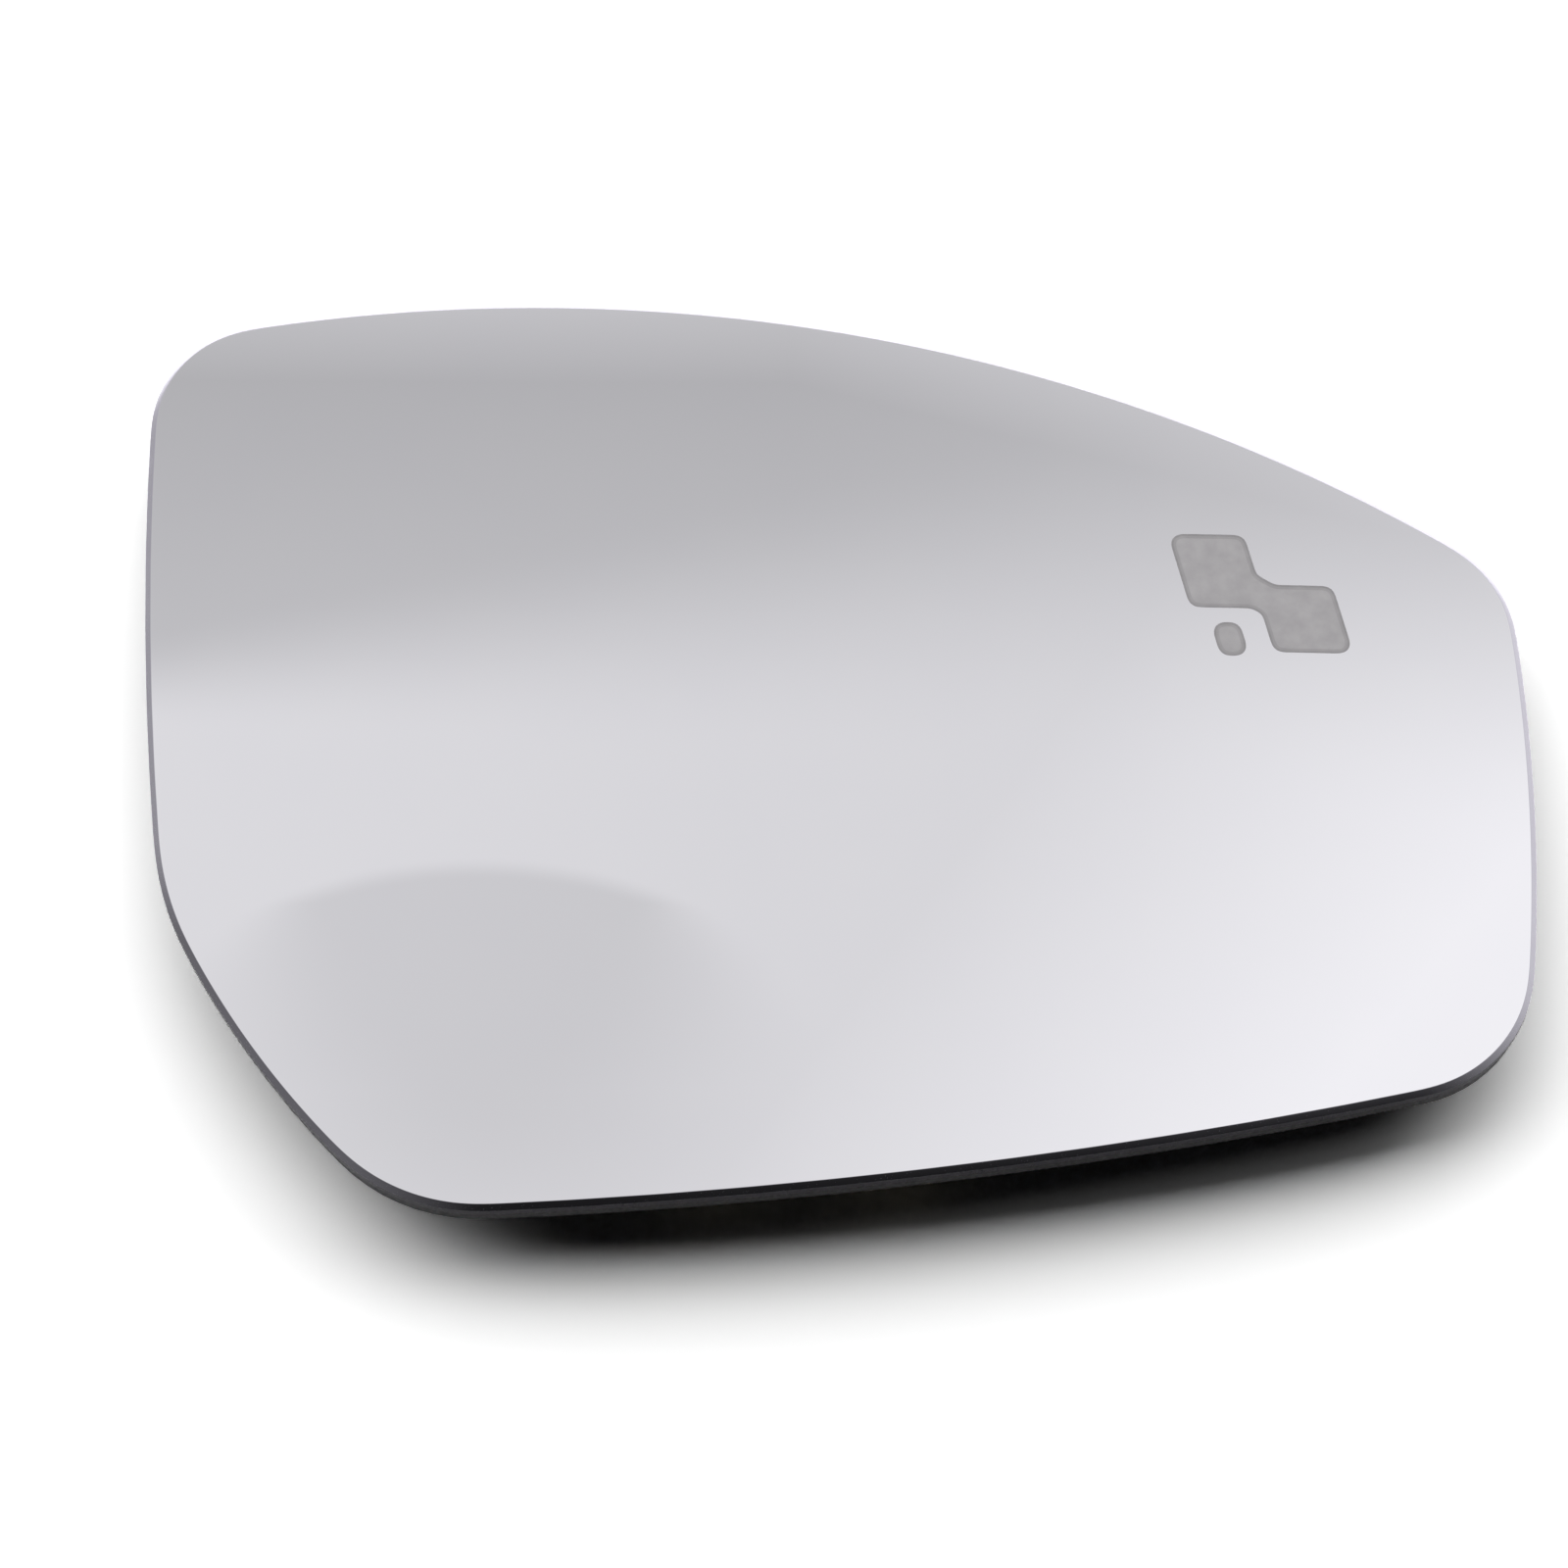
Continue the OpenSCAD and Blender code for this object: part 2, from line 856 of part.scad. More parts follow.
// Surface-mounted part on top of the board
module board_part(x, y, size) {
    at_lamp()
        translate([x - size.x / 2, y - size.y / 2, pin_z])
            cube(size);
}

module lamp_led(place) {
    color("lightyellow")
        board_part(place * (guide_l / 2 - led_margin), led_y, [led_l, led_l, led_h]);
}

RESISTOR_SIZE = [3.2, 1.6, 0.6];
resistor_x = 6;
resistor_y = -5.5;

module lamp_resistor() {
    color("black")
        board_part(resistor_x, resistor_y, RESISTOR_SIZE);
}

// A square contact that lies on the board and ends in the socket
module pin_shape(side, margin) {
    t = pin_t + 2 * margin;
    reach = socket_l - pin_recess;
    translate([side * pin_step / 2 - t / 2, -body_w / 2 - reach, pin_z - margin])
        cube([t, reach + lamp_wall + pin_on_board, t]);
}

module lamp_pin(side) {
    color("goldenrod")
        at_lamp()
            pin_shape(side, 0);
}

mirror_glass();
sign_double_field();
sign_small_field();
heater_pad();
heater_track();
heater_blade(-1);  // heater_blade_left
heater_blade(1);  // heater_blade_right
blade_rivet(-1);  // blade_rivet_left
blade_rivet(1);  // blade_rivet_right
backing_plate();
lamp_gasket();
lamp_light_guide();
lamp_housing();
lamp_board();
lamp_led(-1);  // lamp_led_1
lamp_led(0);  // lamp_led_2
lamp_led(1);  // lamp_led_3
lamp_resistor();
lamp_pin(-1);  // lamp_pin_left
lamp_pin(1);  // lamp_pin_right
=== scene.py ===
"""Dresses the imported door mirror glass: polished glass, frosted sign, moulded plate and studio light."""
import math

import bpy
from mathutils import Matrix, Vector
from mathutils.geometry import delaunay_2d_cdt


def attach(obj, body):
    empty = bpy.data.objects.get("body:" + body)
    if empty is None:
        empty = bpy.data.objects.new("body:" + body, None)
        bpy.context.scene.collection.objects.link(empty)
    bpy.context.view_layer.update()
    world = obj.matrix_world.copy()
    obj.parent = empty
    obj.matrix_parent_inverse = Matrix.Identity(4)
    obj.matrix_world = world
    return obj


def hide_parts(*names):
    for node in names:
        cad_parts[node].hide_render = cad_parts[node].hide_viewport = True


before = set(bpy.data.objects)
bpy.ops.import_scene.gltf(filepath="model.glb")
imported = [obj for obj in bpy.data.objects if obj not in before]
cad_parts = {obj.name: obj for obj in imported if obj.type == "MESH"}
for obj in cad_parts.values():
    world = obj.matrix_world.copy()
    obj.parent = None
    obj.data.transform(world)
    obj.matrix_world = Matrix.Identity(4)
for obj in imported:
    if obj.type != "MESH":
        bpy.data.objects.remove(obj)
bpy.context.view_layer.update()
MM = 0.001

# The glass
FACE_RADIUS = 1400 * MM
GLASS_THICKNESS = 2.1 * MM
BACK_ROUND = 0.25 * MM
BACK_ROUND_STEPS = 3

# Rings of the ground bevel: inset and drop from the sharp edge, and the tilt of the surface there
BEVEL_RINGS = (
    (0.80 * MM, 0.00 * MM, math.radians(90)),
    (0.76 * MM, 0.01 * MM, math.radians(68)),
    (0.70 * MM, 0.05 * MM, math.radians(54)),
    (0.05 * MM, 0.58 * MM, math.radians(50)),
    (0.00 * MM, 0.64 * MM, math.radians(44)),
)

# The frosted sign: how deep it reaches into the glass, and how far its front lies below the face
FIELD_NODES = ["sign_double_field", "sign_small_field"]
SIGN_DEPTH = 0.18 * MM
SIGN_SETBACK = 0.015 * MM

# How far in from a frosted field's edge each step of frosting starts, and how pale it is: the darker outer
# steps are painted shade along the field's rim
FROST_SHADE_STEPS = (
    (0.00 * MM, 0.77),
    (0.30 * MM, 0.89),
    (0.65 * MM, 1.05),
)

# Steps of the points along the outlines and of the grids between them
LOOP_STEP = 1.0 * MM
SIGN_STEP = 0.3 * MM
GRID_STEP = 6 * MM
SIGN_GRID_STEP = GRID_STEP / 4
GRID_CLEAR = 2.5 * MM

# Rounds of smoothing, which take the corners off the solids' short chords
LOOP_SMOOTHING = 8
SIGN_SMOOTHING = 6

# Corners of the solids are told apart by their places in these steps, new points by this distance
CORNER_STEPS_PER_METRE = 1e6
POINTS_APART = 1e-9

# Upward parts of the normals that tell a level face from an upright wall
LEVEL_FROM = 0.9
UPRIGHT_UNTIL = 0.3

# Blotches in a metre of each material's noise
SILVER_CLOUDS = 60
BEVEL_WAVES = 120
EDGE_GRIT = 2500
FROST_MOTTLE = 500
FROST_GRAIN = 5000
PLASTIC_FLOW = 60
PLATE_GRAIN = 1800
LAMP_GRAIN = 1300
ROLLING_LINES = (200, 3000, 3000)

# Depths of relief
FINE_RELIEF = 0.02 * MM
GRAIN_RELIEF = 0.1 * MM

# The photograph's frame and the camera that took it
PHOTO_SIZE = 1600
PIXELS_PER_MM = 7.45
CAMERA_ELEVATION = math.radians(66)
CAMERA_DISTANCE = 0.9
CAMERA_TARGET = Vector((-2.1, -7.2, 16.9)) * MM
CAMERA_NEAR = 0.01
SENSOR_WIDTH = 36

# The floor: its fade to even white, its level for lighting, and what is added to it for the eye
FLOOR_SIZE = 8
FLOOR_GAP = 0.05 * MM
FLOOR_FADE = (0.15, 0.4)
FLOOR_LEVEL = 0.5
FLOOR_GAIN = 0.85
FLOOR_ROUGHNESS = 0.9

# Each lamp's name, place, width and height, and power
LAMPS = (
    ("key", Vector((-0.15, 0.61, 0.81)), (4.3, 1.4), 34),
    ("right", Vector((0.76, 0.22, 0.60)), (0.5, 0.45), 1.1),
    ("left", Vector((-0.80, 0.20, 0.60)), (0.5, 0.45), 0.5),
)
FILL_LEVEL = 0.002

# The room is drawn over the parts of a direction: x to the right, y away from the camera and z up.
# A pair is where a rise of brightness starts and how steep it is.
PANEL_LEVEL = 0.766
PANEL_MOST = 0.985
PANEL_LEAN = 0.73
PANEL_RIGHT = (-0.217, 1.2)
PANEL_LEFT = (0.03, 0.17)

# The soft dark shape in the panel: its middle, its half sizes, its darkness and its crisper top
SHAPE_AT = (-0.104, 0.294)
SHAPE_HALF = (0.122, 0.079)
SHAPE_DARKNESS = 0.112
SHAPE_TOP_RISE = 1.25
SHAPE_TOP_CRISPNESS = 0.9

CEILING_LEVEL = 0.494
CEILING_NEAR = (-0.53, 1.03)
CEILING_RIGHT = (0.0, 0.2)
CEILING_END = (0.53, 4.5)
CEILING_END_LEAN = (0.0, 0.25)

# The border between panel and ceiling: its place, its slope, its bend and half its width
BORDER_AT = 0.4525
BORDER_SLOPE = 0.098
BORDER_BEND = (0.125, 0.23)
BORDER_WIDTH = 0.046
BORDER_WIDENING = 0.139
BORDER_LEAST = 0.01

# The walls below the panel, and the heights between which the panel takes over
WALL_FALL = 0.9
PANEL_HEIGHTS = (0.45, 0.72)

# What dull surfaces see: where the room darkens to the south, how much, and the paler west
SOUTH_LEAN = 0.3
SOUTH_DUSK = (-1.17, 0.83)
SOUTH_DARKNESS = 0.985
WEST_LEVEL = 0.2


def face_z(x, y, radius=FACE_RADIUS):
    """Height of the ball of the given radius about the face's centre."""
    return FACE_CENTRE_Z + math.sqrt(radius * radius - x * x - y * y)


def corner_key(point):
    return tuple(round(c * CORNER_STEPS_PER_METRE) for c in point)


def rim_loop(node, facing):
    """Points in order where a node's upright wall meets its face that looks up (1) or down (-1)."""
    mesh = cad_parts[node].data
    sides = {}
    places = {}
    for polygon in mesh.polygons:
        keys = []
        for index in polygon.vertices:
            point = mesh.vertices[index].co
            key = corner_key(point)
            places[key] = point.copy()
            keys.append(key)
        for a, b in zip(keys, keys[1:] + keys[:1]):
            sides.setdefault(frozenset((a, b)), []).append(polygon.normal.z * facing)
    joined = {}
    for edge, tilts in sides.items():
        if len(edge) == 2 and len(tilts) == 2 and max(tilts) > LEVEL_FROM and min(tilts) < UPRIGHT_UNTIL:
            a, b = edge
            joined.setdefault(a, []).append(b)
            joined.setdefault(b, []).append(a)
    start = next(iter(joined))
    loop = [start]
    before = None
    while True:
        here = loop[-1]
        onward = [key for key in joined[here] if key != before]
        before = here
        if not onward or onward[0] == start:
            break
        loop.append(onward[0])
    return [places[key].xy.copy() for key in loop]


def area_of(loop):
    return sum(a.cross(b) for a, b in zip(loop, loop[1:] + loop[:1])) / 2


def even_loop(loop, step, rounds):
    """The loop anticlockwise, with points at even steps, after some rounds of smoothing."""
    if area_of(loop) < 0:
        loop = loop[::-1]
    closed = loop + loop[:1]
    lengths = [(b - a).length for a, b in zip(closed, closed[1:])]
    count = round(sum(lengths) / step)
    even = []
    side = 0
    passed = 0
    for k in range(count):
        goal = sum(lengths) * k / count
        while passed + lengths[side] < goal:
            passed += lengths[side]
            side += 1
        even.append(closed[side].lerp(closed[side + 1], (goal - passed) / lengths[side]))
    for _ in range(rounds):
        even = [
            (even[k - 1] + 2 * even[k] + even[(k + 1) % count]) / 4
            for k in range(count)
        ]
    return even


def outward(loop):
    """Unit normals of an anticlockwise loop."""
    count = len(loop)
    normals = []
    for k in range(count):
        along = (loop[(k + 1) % count] - loop[k - 1]).normalized()
        normals.append(Vector((along.y, -along.x)))
    return normals


def inside(point, loop):
    hit = False
    for a, b in zip(loop, loop[1:] + loop[:1]):
        if (a.y > point.y) != (b.y > point.y):
            if point.x < a.x + (b.x - a.x) * (point.y - a.y) / (b.y - a.y):
                hit = not hit
    return hit


def triangles(outer, holes, grid_step):
    """Flat triangles inside the outer loop and outside the holes, with an even grid between them."""
    points = []
    edges = []
    for loop in [outer] + holes:
        base = len(points)
        points += loop
        edges += [(base + k, base + (k + 1) % len(loop)) for k in range(len(loop))]
    rim = list(points)
    if grid_step:
        low = [min(p[axis] for p in outer) for axis in (0, 1)]
        high = [max(p[axis] for p in outer) for axis in (0, 1)]
        for i in range(1, int((high[0] - low[0]) / grid_step) + 1):
            for j in range(1, int((high[1] - low[1]) / grid_step) + 1):
                spot = Vector((low[0] + i * grid_step, low[1] + j * grid_step))
                if inside(spot, outer) and min((spot - p).length for p in rim) > GRID_CLEAR:
                    points.append(spot)
    placed, _, faces, *_ = delaunay_2d_cdt(points, edges, [], 0, POINTS_APART)
    kept = []
    for face in faces:
        middle = sum((placed[k] for k in face), Vector((0, 0))) / len(face)
        if inside(middle, outer) and not any(inside(middle, hole) for hole in holes):
            kept.append(list(face))
    return placed, kept


class Solid:
    """Collects the points, true normals and faces of one closed piece."""

    def __init__(self):
        self.points = []
        self.faces = []
        self.slots = []
        self.corner_normals = []

    def add(self, corners, slot):
        """One face from corners of (point, normal)."""
        base = len(self.points)
        self.points += [point for point, _ in corners]
        self.faces.append(list(range(base, base + len(corners))))
        self.corner_normals += [normal for _, normal in corners]
        self.slots.append(slot)

    def lid(self, outer, holes, radius, up, slot, grid_step=0):
        """Part of a ball about the face's centre, seen from above (up = 1) or from below (-1)."""
        placed, faces = triangles(outer, holes, grid_step)
        for face in faces:
            corners = []
            for k in face:
                x, y = placed[k]
                point = Vector((x, y, face_z(x, y, radius)))
                normal = (point - Vector((0, 0, FACE_CENTRE_Z))).normalized() * up
                corners.append((point, normal))
            flat = (corners[1][0] - corners[0][0]).cross(corners[2][0] - corners[0][0])
            if flat.z * up < 0:
                corners.reverse()
            self.add(corners, slot)

    def band(self, lower, upper, slot):
        """Quads between two rings of (point, normal), seen from the left of their direction."""
        count = len(lower)
        for k in range(count):
            n = (k + 1) % count
            self.add([lower[k], lower[n], upper[n], upper[k]], slot)

    def build(self, name, materials):
        mesh = bpy.data.meshes.new(name)
        mesh.from_pydata(self.points, [], self.faces)
        for material in materials:
            mesh.materials.append(material)
        for polygon, slot in zip(mesh.polygons, self.slots):
            polygon.material_index = slot
            polygon.use_smooth = True
        mesh.normals_split_custom_set([tuple(n) for n in self.corner_normals])
        piece = bpy.data.objects.new(name, mesh)
        bpy.context.scene.collection.objects.link(piece)
        return piece


def ring(loop, normals, inset, radius, drop, tilt):
    """One ring of an edge profile: inset and drop from the ball, normal tilted up from level."""
    corners = []
    for spot, out in zip(loop, normals):
        x, y = spot - out * inset
        level = Vector((out.x, out.y, 0))
        normal = level * math.cos(tilt) + Vector((0, 0, math.sin(tilt)))
        corners.append((Vector((x, y, face_z(x, y, radius) - drop)), normal))
    return corners


def principled(name):
    """A new material with its node tree and its shader."""
    material = bpy.data.materials.new(name)
    material.use_nodes = True
    tree = material.node_tree
    return material, tree, tree.nodes["Principled BSDF"]


def add_node(tree, kind, inputs=None, **settings):
    """A node whose inputs are linked where the value is a socket, and set where it isn't."""
    node = tree.nodes.new(kind)
    for name, value in settings.items():
        setattr(node, name, value)
    for name, value in (inputs or {}).items():
        if isinstance(value, bpy.types.NodeSocket):
            tree.links.new(value, node.inputs[name])
        else:
            node.inputs[name].default_value = value
    return node


def noise(tree, scale, detail, where=None):
    """Grey noise with the given number of blotches in a metre."""
    if where is None:
        where = add_node(tree, "ShaderNodeTexCoord").outputs["Object"]
    inputs = {"Vector": where, "Scale": scale, "Detail": detail}
    return add_node(tree, "ShaderNodeTexNoise", inputs).outputs["Fac"]


def spread(tree, value, low, high, start=0.3, end=0.7):
    """Value from start to end mapped to low to high."""
    inputs = {"Value": value, "From Min": start, "From Max": end, "To Min": low, "To Max": high}
    return add_node(tree, "ShaderNodeMapRange", inputs).outputs["Result"]


def blend_colours(tree, factor, first, second):
    node = add_node(tree, "ShaderNodeMix", data_type="RGBA")
    for socket, value in zip((node.inputs[0], node.inputs[6], node.inputs[7]), (factor, first, second)):
        if isinstance(value, bpy.types.NodeSocket):
            tree.links.new(value, socket)
        else:
            socket.default_value = value
    return node.outputs[2]


def paint(tree, shader, pattern, dark, light):
    """Base colour that goes from dark to light with a pattern."""
    tint = blend_colours(tree, spread(tree, pattern, 0, 1), dark, light)
    tree.links.new(tint, shader.inputs["Base Color"])


def roughen(tree, shader, pattern, low, high):
    """Roughness that goes from low to high with a pattern."""
    tree.links.new(spread(tree, pattern, low, high), shader.inputs["Roughness"])


def bump(tree, shader, height, strength, distance):
    inputs = {"Height": height, "Strength": strength, "Distance": distance}
    tree.links.new(add_node(tree, "ShaderNodeBump", inputs).outputs["Normal"], shader.inputs["Normal"])


def silvered_glass():
    """Polished convex mirror, whose silver has the faintest clouds."""
    material, tree, shader = principled("silvered_glass")
    shader.inputs["Metallic"].default_value = 1
    clouds = noise(tree, SILVER_CLOUDS, 3)
    paint(tree, shader, clouds, (0.88, 0.872, 0.916, 1), (0.888, 0.88, 0.92, 1))
    shader.inputs["Roughness"].default_value = 0
    return material


def ground_glass():
    """Silvered bevel around the face, ground and then polished a little unevenly."""
    material, tree, shader = principled("ground_glass")
    shader.inputs["Metallic"].default_value = 1
    waves = noise(tree, BEVEL_WAVES, 2)
    paint(tree, shader, waves, (0.66, 0.64, 0.72, 1), (0.69, 0.67, 0.75, 1))
    roughen(tree, shader, waves, 0.1, 0.15)
    return material


def edge_glass():
    """The dark edge of the sheet, with the fine grit of its grinding."""
    material, tree, shader = principled("edge_glass")
    grit = noise(tree, EDGE_GRIT, 3)
    paint(tree, shader, grit, (0.014, 0.011, 0.02, 1), (0.026, 0.021, 0.034, 1))
    roughen(tree, shader, grit, 0.25, 0.35)
    shader.inputs["IOR"].default_value = 1.2
    bump(tree, shader, grit, 0.1, FINE_RELIEF)
    return material


def frosting(name, level):
    """Frosted field, slightly mottled under the smooth front of the glass; a level below 1 makes a darker
    copy that paints shade along a field's rim.
    """
    material, tree, shader = principled(name)
    mottle = noise(tree, FROST_MOTTLE, 4)
    grain = noise(tree, FROST_GRAIN, 2)
    dark = (0.31 * level, 0.3 * level, 0.31 * level, 1)
    light = (0.36 * level, 0.347 * level, 0.358 * level, 1)
    paint(tree, shader, mottle, dark, light)
    roughen(tree, shader, grain, 0.5, 0.62)
    shader.inputs["Coat Weight"].default_value = 0.15
    shader.inputs["Coat Roughness"].default_value = 0.2
    bump(tree, shader, grain, 0.15, FINE_RELIEF)
    return material


def moulded_plastic(name, dark, light, grain_scale):
    """Black moulded plastic with a spark-eroded grain and slow changes of shade along the flow."""
    material, tree, shader = principled(name)
    grain = noise(tree, grain_scale, 3)
    flow = noise(tree, PLASTIC_FLOW, 4)
    paint(tree, shader, flow, dark, light)
    roughen(tree, shader, grain, 0.42, 0.62)
    shader.inputs["Specular IOR Level"].default_value = 0.25
    bump(tree, shader, grain, 0.7, GRAIN_RELIEF)
    return material


def rolled_metal(name, dark, light):
    """Sheet metal with fine rolling lines."""
    material, tree, shader = principled(name)
    place = add_node(tree, "ShaderNodeTexCoord").outputs["Object"]
    inputs = {"Vector": place, "Scale": ROLLING_LINES}
    stretched = add_node(tree, "ShaderNodeMapping", inputs).outputs["Vector"]
    lines = noise(tree, 1, 3, stretched)
    paint(tree, shader, lines, dark, light)
    shader.inputs["Metallic"].default_value = 1
    roughen(tree, shader, lines, 0.22, 0.4)
    bump(tree, shader, lines, 0.15, FINE_RELIEF)
    return material


def satin_plastic(name, dark, light, scale=400, roughness=(0.3, 0.45)):
    """Smooth plastic, film or board with a mild mottle."""
    material, tree, shader = principled(name)
    mottle = noise(tree, scale, 3)
    paint(tree, shader, mottle, dark, light)
    roughen(tree, shader, mottle, *roughness)
    bump(tree, shader, mottle, 0.1, FINE_RELIEF)
    return material


def make_glass(outline, fields, silver, bevel, edge):
    """The sheet: convex face with pockets for the sign, ground bevel, upright side and rounded back."""
    glass = Solid()
    out = outward(outline)
    profile = [ring(outline, out, inset, FACE_RADIUS, drop, tilt) for inset, drop, tilt in BEVEL_RINGS]
    back_radius = FACE_RADIUS - GLASS_THICKNESS
    back = []
    for k in range(BACK_ROUND_STEPS + 1):
        turn = math.pi / 2 * k / BACK_ROUND_STEPS
        inset = BACK_ROUND * (1 - math.cos(turn))
        rise = BACK_ROUND * (1 - math.sin(turn))
        back.append(ring(outline, out, inset, back_radius, -rise, -turn))
    front_rim = [point.xy for point, _ in profile[0]]
    back_rim = [point.xy for point, _ in back[-1]]
    glass.lid(front_rim, fields, FACE_RADIUS, 1, 0, GRID_STEP)
    for upper, lower in zip(profile, profile[1:]):
        glass.band(lower, upper, 1)
    side_top = ring(outline, out, 0, FACE_RADIUS, BEVEL_RINGS[-1][1], 0)
    glass.band(back[0], side_top, 2)
    for upper, lower in zip(back, back[1:]):
        glass.band(lower, upper, 2)
    glass.lid(back_rim, [], back_radius, -1, 2, GRID_STEP)
    pocket_radius = FACE_RADIUS - SIGN_DEPTH - SIGN_SETBACK
    for field in fields:
        inward = [-n for n in outward(field)]
        top = ring(field, inward, 0, FACE_RADIUS, 0, 0)
        floor = ring(field, inward, 0, pocket_radius, 0, 0)
        glass.band(top, floor, 2)
        glass.lid(field, [], pocket_radius, 1, 2)
    piece = glass.build("mirror_pane", [silver, bevel, edge])
    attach(piece, "root")
    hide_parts("mirror_glass")


def make_field(node, loop, frost_shades):
    """One frosted field, a thin inlay just below the face, with its rim darkened in steps as painted
    shade.
    """
    field = Solid()
    out = outward(loop)
    top_radius = FACE_RADIUS - SIGN_SETBACK
    low_radius = FACE_RADIUS - SIGN_DEPTH
    loops = [[spot - normal * inset for spot, normal in zip(loop, out)] for inset, _ in FROST_SHADE_STEPS]
    for slot, (outer, inner) in enumerate(zip(loops, loops[1:])):
        field.lid(outer, [inner], top_radius, 1, slot)
    field.lid(loops[-1], [], top_radius, 1, len(loops) - 1, SIGN_GRID_STEP)
    field.band(ring(loop, out, 0, low_radius, 0, 0), ring(loop, out, 0, top_radius, 0, 0), 0)
    field.lid(loop, [], low_radius, -1, 0)
    piece = field.build(node.replace("sign", "frosted"), frost_shades)
    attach(piece, "root")
    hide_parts(node)


def dress(node, material):
    """A finish for a node whose shape is right."""
    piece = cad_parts[node]
    piece.data.materials.clear()
    piece.data.materials.append(material)


def maths(tree, operation, *values):
    inputs = dict(enumerate(values))
    return add_node(tree, "ShaderNodeMath", inputs, operation=operation).outputs[0]


def minus(tree, value):
    return maths(tree, "MULTIPLY", value, -1.0)


def soft_step(tree, value, low, high):
    """0 up to low and 1 from high on, with a soft rise between them."""
    inputs = {"Value": value, "From Min": low, "From Max": high}
    return add_node(tree, "ShaderNodeMapRange", inputs, interpolation_type="SMOOTHSTEP").outputs["Result"]


def above(tree, value, start, slope):
    """Slope times how far the value is above its start, and 0 below it."""
    over = maths(tree, "MAXIMUM", maths(tree, "SUBTRACT", value, start), 0.0)
    return maths(tree, "MULTIPLY", over, slope)


def from_middle(tree, value, middle, half):
    """How far the value is from the middle, in half sizes."""
    return maths(tree, "MULTIPLY_ADD", value, 1 / half, -middle / half)


def looked_at(tree):
    """1 for what the camera sees directly, in a reflection or through glass, and 0 for lighting."""
    path = add_node(tree, "ShaderNodeLightPath")
    shown = maths(tree, "MAXIMUM", path.outputs["Is Glossy Ray"], path.outputs["Is Transmission Ray"])
    return maths(tree, "MAXIMUM", path.outputs["Is Camera Ray"], shown)


def make_floor():
    """Plain white surface under the part, which looks evenly white away from it."""
    half = FLOOR_SIZE / 2
    corners = [(x * half, y * half, -FLOOR_GAP) for x, y in ((-1, -1), (1, -1), (1, 1), (-1, 1))]
    mesh = bpy.data.meshes.new("floor")
    mesh.from_pydata(corners, [], [(0, 1, 2, 3)])
    floor = bpy.data.objects.new("floor", mesh)
    bpy.context.scene.collection.objects.link(floor)
    material, tree, shader = principled("floor_white")
    shader.inputs["Base Color"].default_value = (FLOOR_LEVEL, FLOOR_LEVEL, FLOOR_LEVEL, 1)
    shader.inputs["Roughness"].default_value = FLOOR_ROUGHNESS
    shader.inputs["Specular IOR Level"].default_value = 0
    place = add_node(tree, "ShaderNodeTexCoord").outputs["Object"]
    away = add_node(tree, "ShaderNodeVectorMath", {0: place}, operation="LENGTH").outputs["Value"]
    fade = maths(tree, "MULTIPLY", soft_step(tree, away, *FLOOR_FADE), looked_at(tree))
    white = add_node(tree, "ShaderNodeEmission", {"Color": (1, 1, 1, 1), "Strength": 1.0})

    # The floor looks paler than it is for the light that it throws back on the part
    gain = maths(tree, "MULTIPLY", looked_at(tree), FLOOR_GAIN)
    extra = add_node(tree, "ShaderNodeBsdfDiffuse", {"Color": gain})
    paler = add_node(tree, "ShaderNodeAddShader", {0: shader.outputs[0], 1: extra.outputs[0]})
    both = add_node(tree, "ShaderNodeMixShader", {0: fade, 1: paler.outputs[0], 2: white.outputs[0]})
    tree.links.new(both.outputs[0], tree.nodes["Material Output"].inputs["Surface"])
    mesh.materials.append(material)


def sky_panel(tree, x, y):
    """Bright panel overhead, brightest low on the right, with the soft dark shape of the camera."""
    lean = maths(tree, "MULTIPLY_ADD", y, -PANEL_LEAN, x)
    right = above(tree, lean, *PANEL_RIGHT)
    left = above(tree, minus(tree, x), *PANEL_LEFT)
    level = maths(tree, "MINIMUM", maths(tree, "ADD", right, PANEL_LEVEL), PANEL_MOST)
    panel = maths(tree, "ADD", level, left)

    across = from_middle(tree, x, SHAPE_AT[0], SHAPE_HALF[0])
    along = from_middle(tree, y, SHAPE_AT[1], SHAPE_HALF[1])
    squares = [maths(tree, "MULTIPLY", part, part) for part in (across, along)]
    far = maths(tree, "SQRT", maths(tree, "ADD", *squares))
    rise = maths(tree, "MULTIPLY", along, SHAPE_TOP_RISE)
    upward = add_node(tree, "ShaderNodeClamp", {"Value": rise}).outputs[0]
    softness = maths(tree, "MULTIPLY_ADD", upward, -SHAPE_TOP_CRISPNESS, 1.0)
    inner = maths(tree, "SUBTRACT", 1.0, softness)
    shape = soft_step(tree, far, 1.0, inner)
    return maths(tree, "MULTIPLY_ADD", shape, -SHAPE_DARKNESS, panel)


def sky_ceiling(tree, x, y):
    """Grey ceiling behind the panel, a little paler near it, to the right and at its far end."""
    near = above(tree, minus(tree, y), *CEILING_NEAR)
    right = above(tree, x, *CEILING_RIGHT)
    lean = above(tree, x, *CEILING_END_LEAN)
    end = above(tree, maths(tree, "ADD", y, lean), *CEILING_END)
    return maths(tree, "ADD", maths(tree, "ADD", near, CEILING_LEVEL), maths(tree, "ADD", right, end))


def overhead(tree, x, y):
    """Panel and ceiling, whose border bends and is softer to the right."""
    straight = maths(tree, "MULTIPLY_ADD", x, -BORDER_SLOPE, y)
    bend = above(tree, x, *BORDER_BEND)
    border = maths(tree, "ADD", straight, maths(tree, "ADD", bend, -BORDER_AT))
    widening = maths(tree, "MULTIPLY_ADD", x, BORDER_WIDENING, BORDER_WIDTH)
    width = maths(tree, "MAXIMUM", widening, BORDER_LEAST)
    ceiling = soft_step(tree, border, minus(tree, width), width)
    inputs = {0: ceiling, 2: sky_panel(tree, x, y), 3: sky_ceiling(tree, x, y)}
    return add_node(tree, "ShaderNodeMix", inputs).outputs[0]


